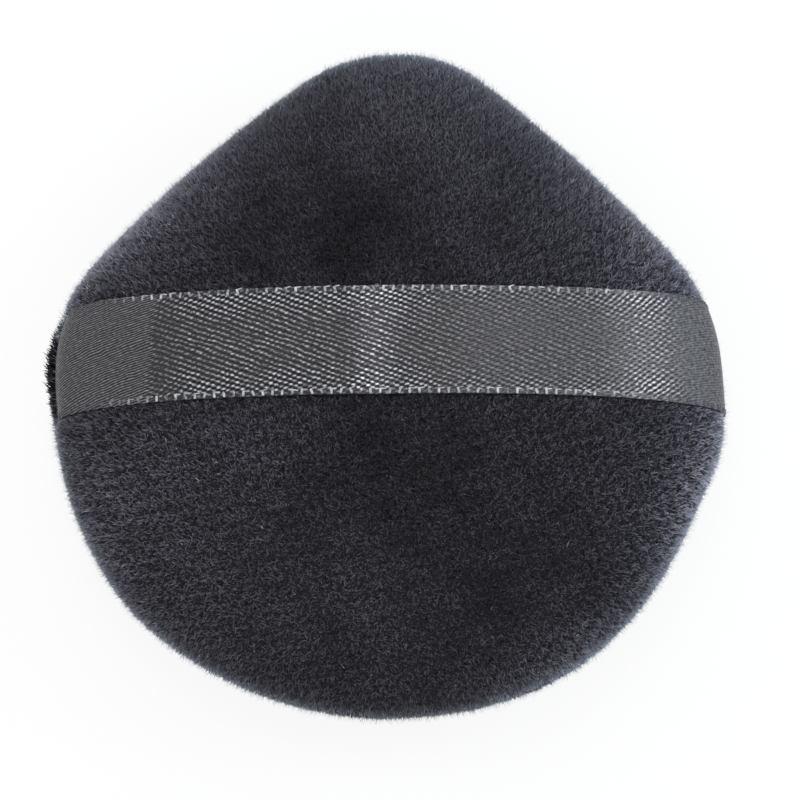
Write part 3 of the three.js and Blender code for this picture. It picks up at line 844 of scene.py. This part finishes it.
def satin_weave(tree, length, place, along, aside):
    """Height of the weave, about -2 to 2: beads in rows that fall to the right, beads in rows that rise and
    take over near the right end, and fine ribs that show where there are no beads."""
    left, turned = FLAT_LEFT, length - FLAT_RIGHT - 8 * MM
    edge = RIBBON_WIDTH / 2 - SELVEDGE_WIDTH
    falling = Vector((ROW_FALL / (FLOAT_STEP * ROW_PITCH), 1 / ROW_PITCH, 0))
    rising = falling - Vector((1 / FLOAT_STEP, 0, 0))
    ribs = Vector((-math.sin(RIB_TURN), math.cos(RIB_TURN), 0)) / RIB_PITCH

    # The threads stray a little from their straight rows, and no two floats shine alike
    stray = add_node(tree, "ShaderNodeTexNoise",
                     inputs={"Vector": place, "Scale": 1 / STRAY_SIZE, "Detail": 1.0})
    centred = add_node(tree, "ShaderNodeVectorMath", {"operation": "SUBTRACT"},
                       {0: stray.outputs["Color"], 1: (0.5, 0.5, 0.5)})
    strayed = add_node(tree, "ShaderNodeVectorMath", {"operation": "MULTIPLY_ADD"},
                       {0: centred, 1: (THREAD_STRAY, THREAD_STRAY, 0), 2: place})
    uneven = add_node(tree, "ShaderNodeTexNoise",
                      inputs={"Vector": place, "Scale": 1 / UNEVEN_SIZE, "Detail": 1.0})
    shown = beads_shown(tree, length, place, along, aside, uneven)

    # The ground between the beads is lighter on the right half: painted light from the lamp on the right
    ground = add_node(tree, "ShaderNodeMapRange", {"interpolation_type": "SMOOTHSTEP"},
                      {0: along, "From Min": length / 2 - 3 * MM, "From Max": length / 2 + 15 * MM,
                       "To Min": -0.5, "To Max": -0.22})
    weave = add_node(tree, "ShaderNodeMath", {"operation": "ADD"}, {0: uneven, 1: ground})
    for way, veil, value, start, end, low, high in (
        (falling, shown, along, turned - 2 * MM, turned + 2 * MM, 0.95, 0.4),
        (rising, shown, along, length / 2, turned + 2 * MM, 0.3, 0.5),
        (rising, shown, aside, 0.5 * edge, 0.9 * edge, 0.0, 0.4),
        (ribs, 1.0, along, left, left + 1 * MM, 0.58, 0.13),
    ):
        turns = add_node(tree, "ShaderNodeVectorMath", {"operation": "DOT_PRODUCT"},
                         {0: strayed, 1: way * 2 * math.pi})
        wave = add_node(tree, "ShaderNodeMath", {"operation": "SINE"}, {0: turns.outputs["Value"]})
        share = add_node(tree, "ShaderNodeMapRange", None,
                         {0: value, "From Min": start, "From Max": end, "To Min": low, "To Max": high})
        seen = add_node(tree, "ShaderNodeMath", {"operation": "MULTIPLY"}, {0: share, 1: veil})
        weave = add_node(tree, "ShaderNodeMath", {"operation": "MULTIPLY_ADD"},
                         {0: wave, 1: seen, 2: weave})
    return weave


def satin_painted_highlights(tree, length, along):
    """How light the ribbon is, with painted highlights: lightest at its left edge, on its top and near its
    right end.
    """
    tone = SATIN_TONE
    for middle, reach, gain in (
        (RIBBON_TAIL, 5 * MM, 1.4),
        (length / 2 - 1.5 * MM, 3.6 * MM, 1.75),
        (length / 2 + SMOOTH_PLACE, 16 * MM, 0.82),
        (length - FLAT_RIGHT - 3.5 * MM, 6 * MM, 1.5),
    ):
        apart = add_node(tree, "ShaderNodeMath", {"operation": "SUBTRACT"}, {0: along, 1: middle})
        far = add_node(tree, "ShaderNodeMath", {"operation": "ABSOLUTE"}, {0: apart})
        shine = add_node(tree, "ShaderNodeMapRange", {"interpolation_type": "SMOOTHSTEP"},
                         {0: far, "From Max": reach, "To Min": gain, "To Max": 1.0})
        tone = add_node(tree, "ShaderNodeMath", {"operation": "MULTIPLY"}, {0: tone, 1: shine})
    return tone


def satin(length):
    """Polyester satin ribbon: its floats show as bright beads in slanted rows over fine ribs, and shine."""
    material, tree, shader = new_material(
        "charcoal_polyester_satin", Specular_IOR_Level=0.1, Anisotropic=0.7, Anisotropic_Rotation=0.25)
    where = add_node(tree, "ShaderNodeUVMap", {"uv_map": "UVMap"})
    place = add_node(tree, "ShaderNodeVectorMath", {"operation": "MULTIPLY_ADD"},
                     {0: where, 1: (length, RIBBON_WIDTH, 0), 2: (0, -RIBBON_WIDTH / 2, 0)})
    parts = add_node(tree, "ShaderNodeSeparateXYZ", inputs={0: place})
    along = parts.outputs[0]
    aside = add_node(tree, "ShaderNodeMath", {"operation": "ABSOLUTE"}, {0: parts.outputs[1]})
    weave = satin_weave(tree, length, place, along, aside)
    level = add_node(tree, "ShaderNodeMapRange", inputs={0: weave, "From Min": -2.0, "From Max": 2.0})
    # The lightest bead colours are partly the floats' own grey and partly a painted glint on their tops
    colour = add_node(tree, "ShaderNodeValToRGB", inputs={"Fac": level},
                      stops=((0.25, "#08080a"), (0.5, "#323132"), (0.64, "#6a696b"), (0.85, "#b5b4b7")))
    # Painted highlights along the ribbon scale its colour
    shaded = add_node(tree, "ShaderNodeVectorMath", {"operation": "SCALE"},
                      {0: colour, "Scale": satin_painted_highlights(tree, length, along)})
    gloss = add_node(tree, "ShaderNodeMapRange",
                     inputs={0: level, "From Min": 0.4, "From Max": 0.8, "To Min": 0.5, "To Max": 0.32})
    bump = add_node(tree, "ShaderNodeBump",
                    inputs={"Strength": 0.35, "Distance": FLOAT_HEIGHT, "Height": weave})
    tangent = add_node(tree, "ShaderNodeTangent", {"direction_type": "UV_MAP", "uv_map": "UVMap"})
    tree.links.new(shaded.outputs[0], shader.inputs["Base Color"])
    tree.links.new(gloss.outputs[0], shader.inputs["Roughness"])
    tree.links.new(bump.outputs[0], shader.inputs["Normal"])
    tree.links.new(tangent.outputs[0], shader.inputs["Tangent"])
    return material


def satin_selvedge():
    """Twisted weft loops at the ribbon's edges: rounder yarn, brighter than the weave, dull at the ends."""
    material, tree, shader = new_material("polyester_weft_loops", Roughness=0.4)
    where = add_node(tree, "ShaderNodeTexCoord")
    twist = add_node(tree, "ShaderNodeTexNoise",
                     inputs={"Vector": where.outputs["Object"], "Scale": 1 / LOOP_TWIST})
    colour = add_node(tree, "ShaderNodeValToRGB", inputs={"Fac": twist},
                      stops=((0.35, "#505155"), (0.65, "#c4c5ca")))
    parts = add_node(tree, "ShaderNodeSeparateXYZ", inputs={0: where.outputs["Object"]})
    far = add_node(tree, "ShaderNodeMath", {"operation": "ABSOLUTE"}, {0: parts.outputs[0]})
    worn = add_node(tree, "ShaderNodeMapRange",
                    inputs={0: far, "From Min": LOOPS_BRIGHT, "From Max": LOOPS_DULL})
    dull = add_node(tree, "ShaderNodeMix", {"data_type": "RGBA"},
                    {"Factor": worn, 6: colour, 7: linear("#38393c")})
    tree.links.new(dull.outputs[2], shader.inputs["Base Color"])
    return material


def polyurethane_foam():
    """Soft polyurethane sponge: off-white and matt, with fine open cells."""
    material, tree, shader = new_material("white_polyurethane_foam", Roughness=0.85)
    where = add_node(tree, "ShaderNodeTexCoord")
    cells = add_node(tree, "ShaderNodeTexVoronoi",
                     inputs={"Vector": where.outputs["Object"], "Scale": 1 / FOAM_CELL})
    colour = add_node(tree, "ShaderNodeValToRGB", inputs={"Fac": cells},
                      stops=((0, "#b5ad9c"), (0.4, "#ece7da")))
    bump = add_node(tree, "ShaderNodeBump",
                    inputs={"Strength": 0.5, "Distance": FOAM_CELL / 3, "Height": cells})
    tree.links.new(colour.outputs[0], shader.inputs["Base Color"])
    tree.links.new(bump.outputs[0], shader.inputs["Normal"])
    return material


def spun_thread():
    """Spun polyester sewing thread: black, faintly glossy, with the turn of its twist."""
    material, tree, shader = new_material("black_spun_polyester_thread", Roughness=0.5)
    where = add_node(tree, "ShaderNodeTexCoord")
    twist = add_node(tree, "ShaderNodeTexWave", {"bands_direction": "DIAGONAL"},
                     {"Vector": where.outputs["Object"], "Scale": 1 / THREAD_TWIST})
    colour = add_node(tree, "ShaderNodeValToRGB", inputs={"Fac": twist},
                      stops=((0, "#0d0d0f"), (1, "#2a2a2e")))
    tree.links.new(colour.outputs[0], shader.inputs["Base Color"])
    return material


# Making

rng = np.random.default_rng(SEED)
pile_material = velour_pile()
body_material = velour_body()

ribbon, ribbon_length = ribbon_band()
under_ribbon = ribbon_tree(ribbon)

back = dome("back_velour", BACK_RIM, BACK_RISE, 1)
front = dome("front_velour", FRONT_RIM, FRONT_RISE, -1)
swell(back, BACK_RIM)
swell(front, FRONT_RIM)
set_points(back, press_under(get_points(back), under_ribbon, PRESSED_PILE, BODY_SLOPE, BODY_REACH))
resting = get_points(front)
resting[:, 2] = np.maximum(resting[:, 2], REST_DEPTH)
set_points(front, resting)

back_tufts = tufts(back, rng)
back_tufts["tips"] = press_under(back_tufts["tips"], under_ribbon, PRESSED_TIPS, TIPS_SLOPE, TIPS_REACH)
front_tufts = tufts(front, rng)
least = REST_TIPS * (1 + rng.random(len(front_tufts["tips"])))
front_tufts["tips"][:, 2] = np.maximum(front_tufts["tips"][:, 2], least)

for panel, rim in ((back, BACK_RIM), (front, FRONT_RIM)):
    finish_panel(panel, rim)
    panel.data.materials.append(body_material)

back_pile = pile_pieces("back_pile", back_tufts, pile_material, rng)
front_pile = pile_pieces("front_pile", front_tufts, pile_material, rng)

loops = selvedge_loops(rng)
loops.data.materials.append(satin_selvedge())
make_active(ribbon)
thicken(ribbon, RIBBON_THICKNESS, 1)
bpy.ops.object.shade_smooth_by_angle(angle=RIBBON_CREASE)
ribbon.data.materials.append(satin(ribbon_length))

core = foam_core()
core.data.materials.append(polyurethane_foam())

thread_material = spun_thread()
for name in ("seam_needle_thread", "seam_bobbin_thread", "closing_thread"):
    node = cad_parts[name]
    node.data.materials.clear()
    node.data.materials.append(thread_material)

# What each piece rides on and stands for
for piece in (back, *back_pile):
    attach(piece, "pad")
for piece in (front, *front_pile):
    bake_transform(piece)
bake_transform(core)
for piece in (ribbon, loops):
    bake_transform(piece)
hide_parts("back_velour_panel")
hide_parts("front_velour_panel")
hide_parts("foam_core")
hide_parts("ribbon_strap", "ribbon_left_end", "ribbon_right_end")

# Stage

FLOOR_SIZE = 0.8
FLOOR_GAP = 0.1 * MM            # keeps the floor clear of the pile
FLOOR_GLOW = 0.88               # share of the floor that the camera sees as plain white
WORLD_LEVEL = 0.5
LAMP_DISTANCE = 0.6
CAMERA_ELEVATION = math.radians(76)
CAMERA_DISTANCE = 0.45
CAMERA_AIM = Vector((1.6 * MM, -2.0 * MM, SEAM_HEIGHT))
FRAME_WIDTH = 94.5 * MM         # width of what the picture shows at the aim
SENSOR_WIDTH = 36


def seen_directly(tree):
    """One where the camera, a reflection or clear glass looks straight at a surface, otherwise nought."""
    path = add_node(tree, "ShaderNodeLightPath")
    looks = add_node(tree, "ShaderNodeMath", {"operation": "MAXIMUM"},
                     {0: path.outputs["Is Camera Ray"], 1: path.outputs["Is Glossy Ray"]})
    return add_node(tree, "ShaderNodeMath", {"operation": "MAXIMUM"},
                    {0: looks, 1: path.outputs["Is Transmission Ray"]})


def white_floor():
    """A matt white floor that takes the object's shadow, and looks almost plain white."""
    bpy.ops.object.select_all(action="DESELECT")
    bpy.ops.mesh.primitive_plane_add(size=FLOOR_SIZE, location=(0, 0, -FLOOR_GAP))
    floor = bpy.context.object
    floor.name = "floor"
    material = bpy.data.materials.new("white_floor")
    material.use_nodes = True
    tree = material.node_tree
    tree.nodes.clear()
    matt = add_node(tree, "ShaderNodeBsdfDiffuse", inputs={"Color": (0.95, 0.95, 0.95, 1)})
    glow = add_node(tree, "ShaderNodeEmission", inputs={"Color": (1, 1, 1, 1), "Strength": 1.0})
    share = add_node(tree, "ShaderNodeMath", {"operation": "MULTIPLY"},
                     {0: seen_directly(tree), 1: FLOOR_GLOW})
    both = add_node(tree, "ShaderNodeMixShader", inputs={0: share, 1: matt, 2: glow})
    add_node(tree, "ShaderNodeOutputMaterial", inputs={"Surface": both})
    floor.data.materials.append(material)


def white_surroundings():
    """Plain white seen directly, and even light at a lower level on the object."""
    world = bpy.data.worlds.new("studio")
    bpy.context.scene.world = world
    world.use_nodes = True
    tree = world.node_tree
    tree.nodes.clear()
    strength = add_node(tree, "ShaderNodeMapRange",
                        inputs={0: seen_directly(tree), "To Min": WORLD_LEVEL, "To Max": 1.0})
    light = add_node(tree, "ShaderNodeBackground", inputs={"Color": (1, 1, 1, 1), "Strength": strength})
    add_node(tree, "ShaderNodeOutputWorld", inputs={"Surface": light})


def softbox(name, way, size, level, code):
    """A square lamp in one direction, as bright on a surface that faces it as that level of even light."""
    lamp = bpy.data.lights.new(name, "AREA")
    lamp.size = size
    lamp.energy = level * (math.pi * LAMP_DISTANCE) ** 2
    lamp.color = linear(code)[:3]
    holder = bpy.data.objects.new(name, lamp)
    holder.location = Vector(way).normalized() * LAMP_DISTANCE
    holder.rotation_euler = (-holder.location).to_track_quat("-Z", "Y").to_euler()
    bpy.context.collection.objects.link(holder)


def picture_camera():
    """A camera at the photograph's angle, whose frame is as wide as the picture shows."""
    camera = bpy.data.cameras.new("camera")
    camera.sensor_width = SENSOR_WIDTH
    camera.lens = SENSOR_WIDTH * CAMERA_DISTANCE / FRAME_WIDTH
    eye = bpy.data.objects.new("camera", camera)
    back_off = Vector((0, -math.cos(CAMERA_ELEVATION), math.sin(CAMERA_ELEVATION)))
    eye.location = CAMERA_AIM + back_off * CAMERA_DISTANCE
    eye.rotation_euler = (-back_off).to_track_quat("-Z", "Y").to_euler()
    bpy.context.collection.objects.link(eye)
    bpy.context.scene.camera = eye


white_floor()
white_surroundings()
softbox("overhead_softbox", (0, 0.28, 0.96), 0.2, 0.2, "#ffffff")
softbox("front_softbox", (0, -0.8, 0.6), 0.5, 0.3, "#ffffff")
softbox("back_softbox", (0, 0.85, 0.5), 0.5, 0.25, "#ffffff")
softbox("right_window", (0.85, 0.2, 0.48), 0.3, 0.45, "#cbe2fa")
softbox("left_window", (-0.85, 0.3, 0.42), 0.3, 0.2, "#dce8ff")
picture_camera()
bpy.context.scene.view_settings.view_transform = "Standard"
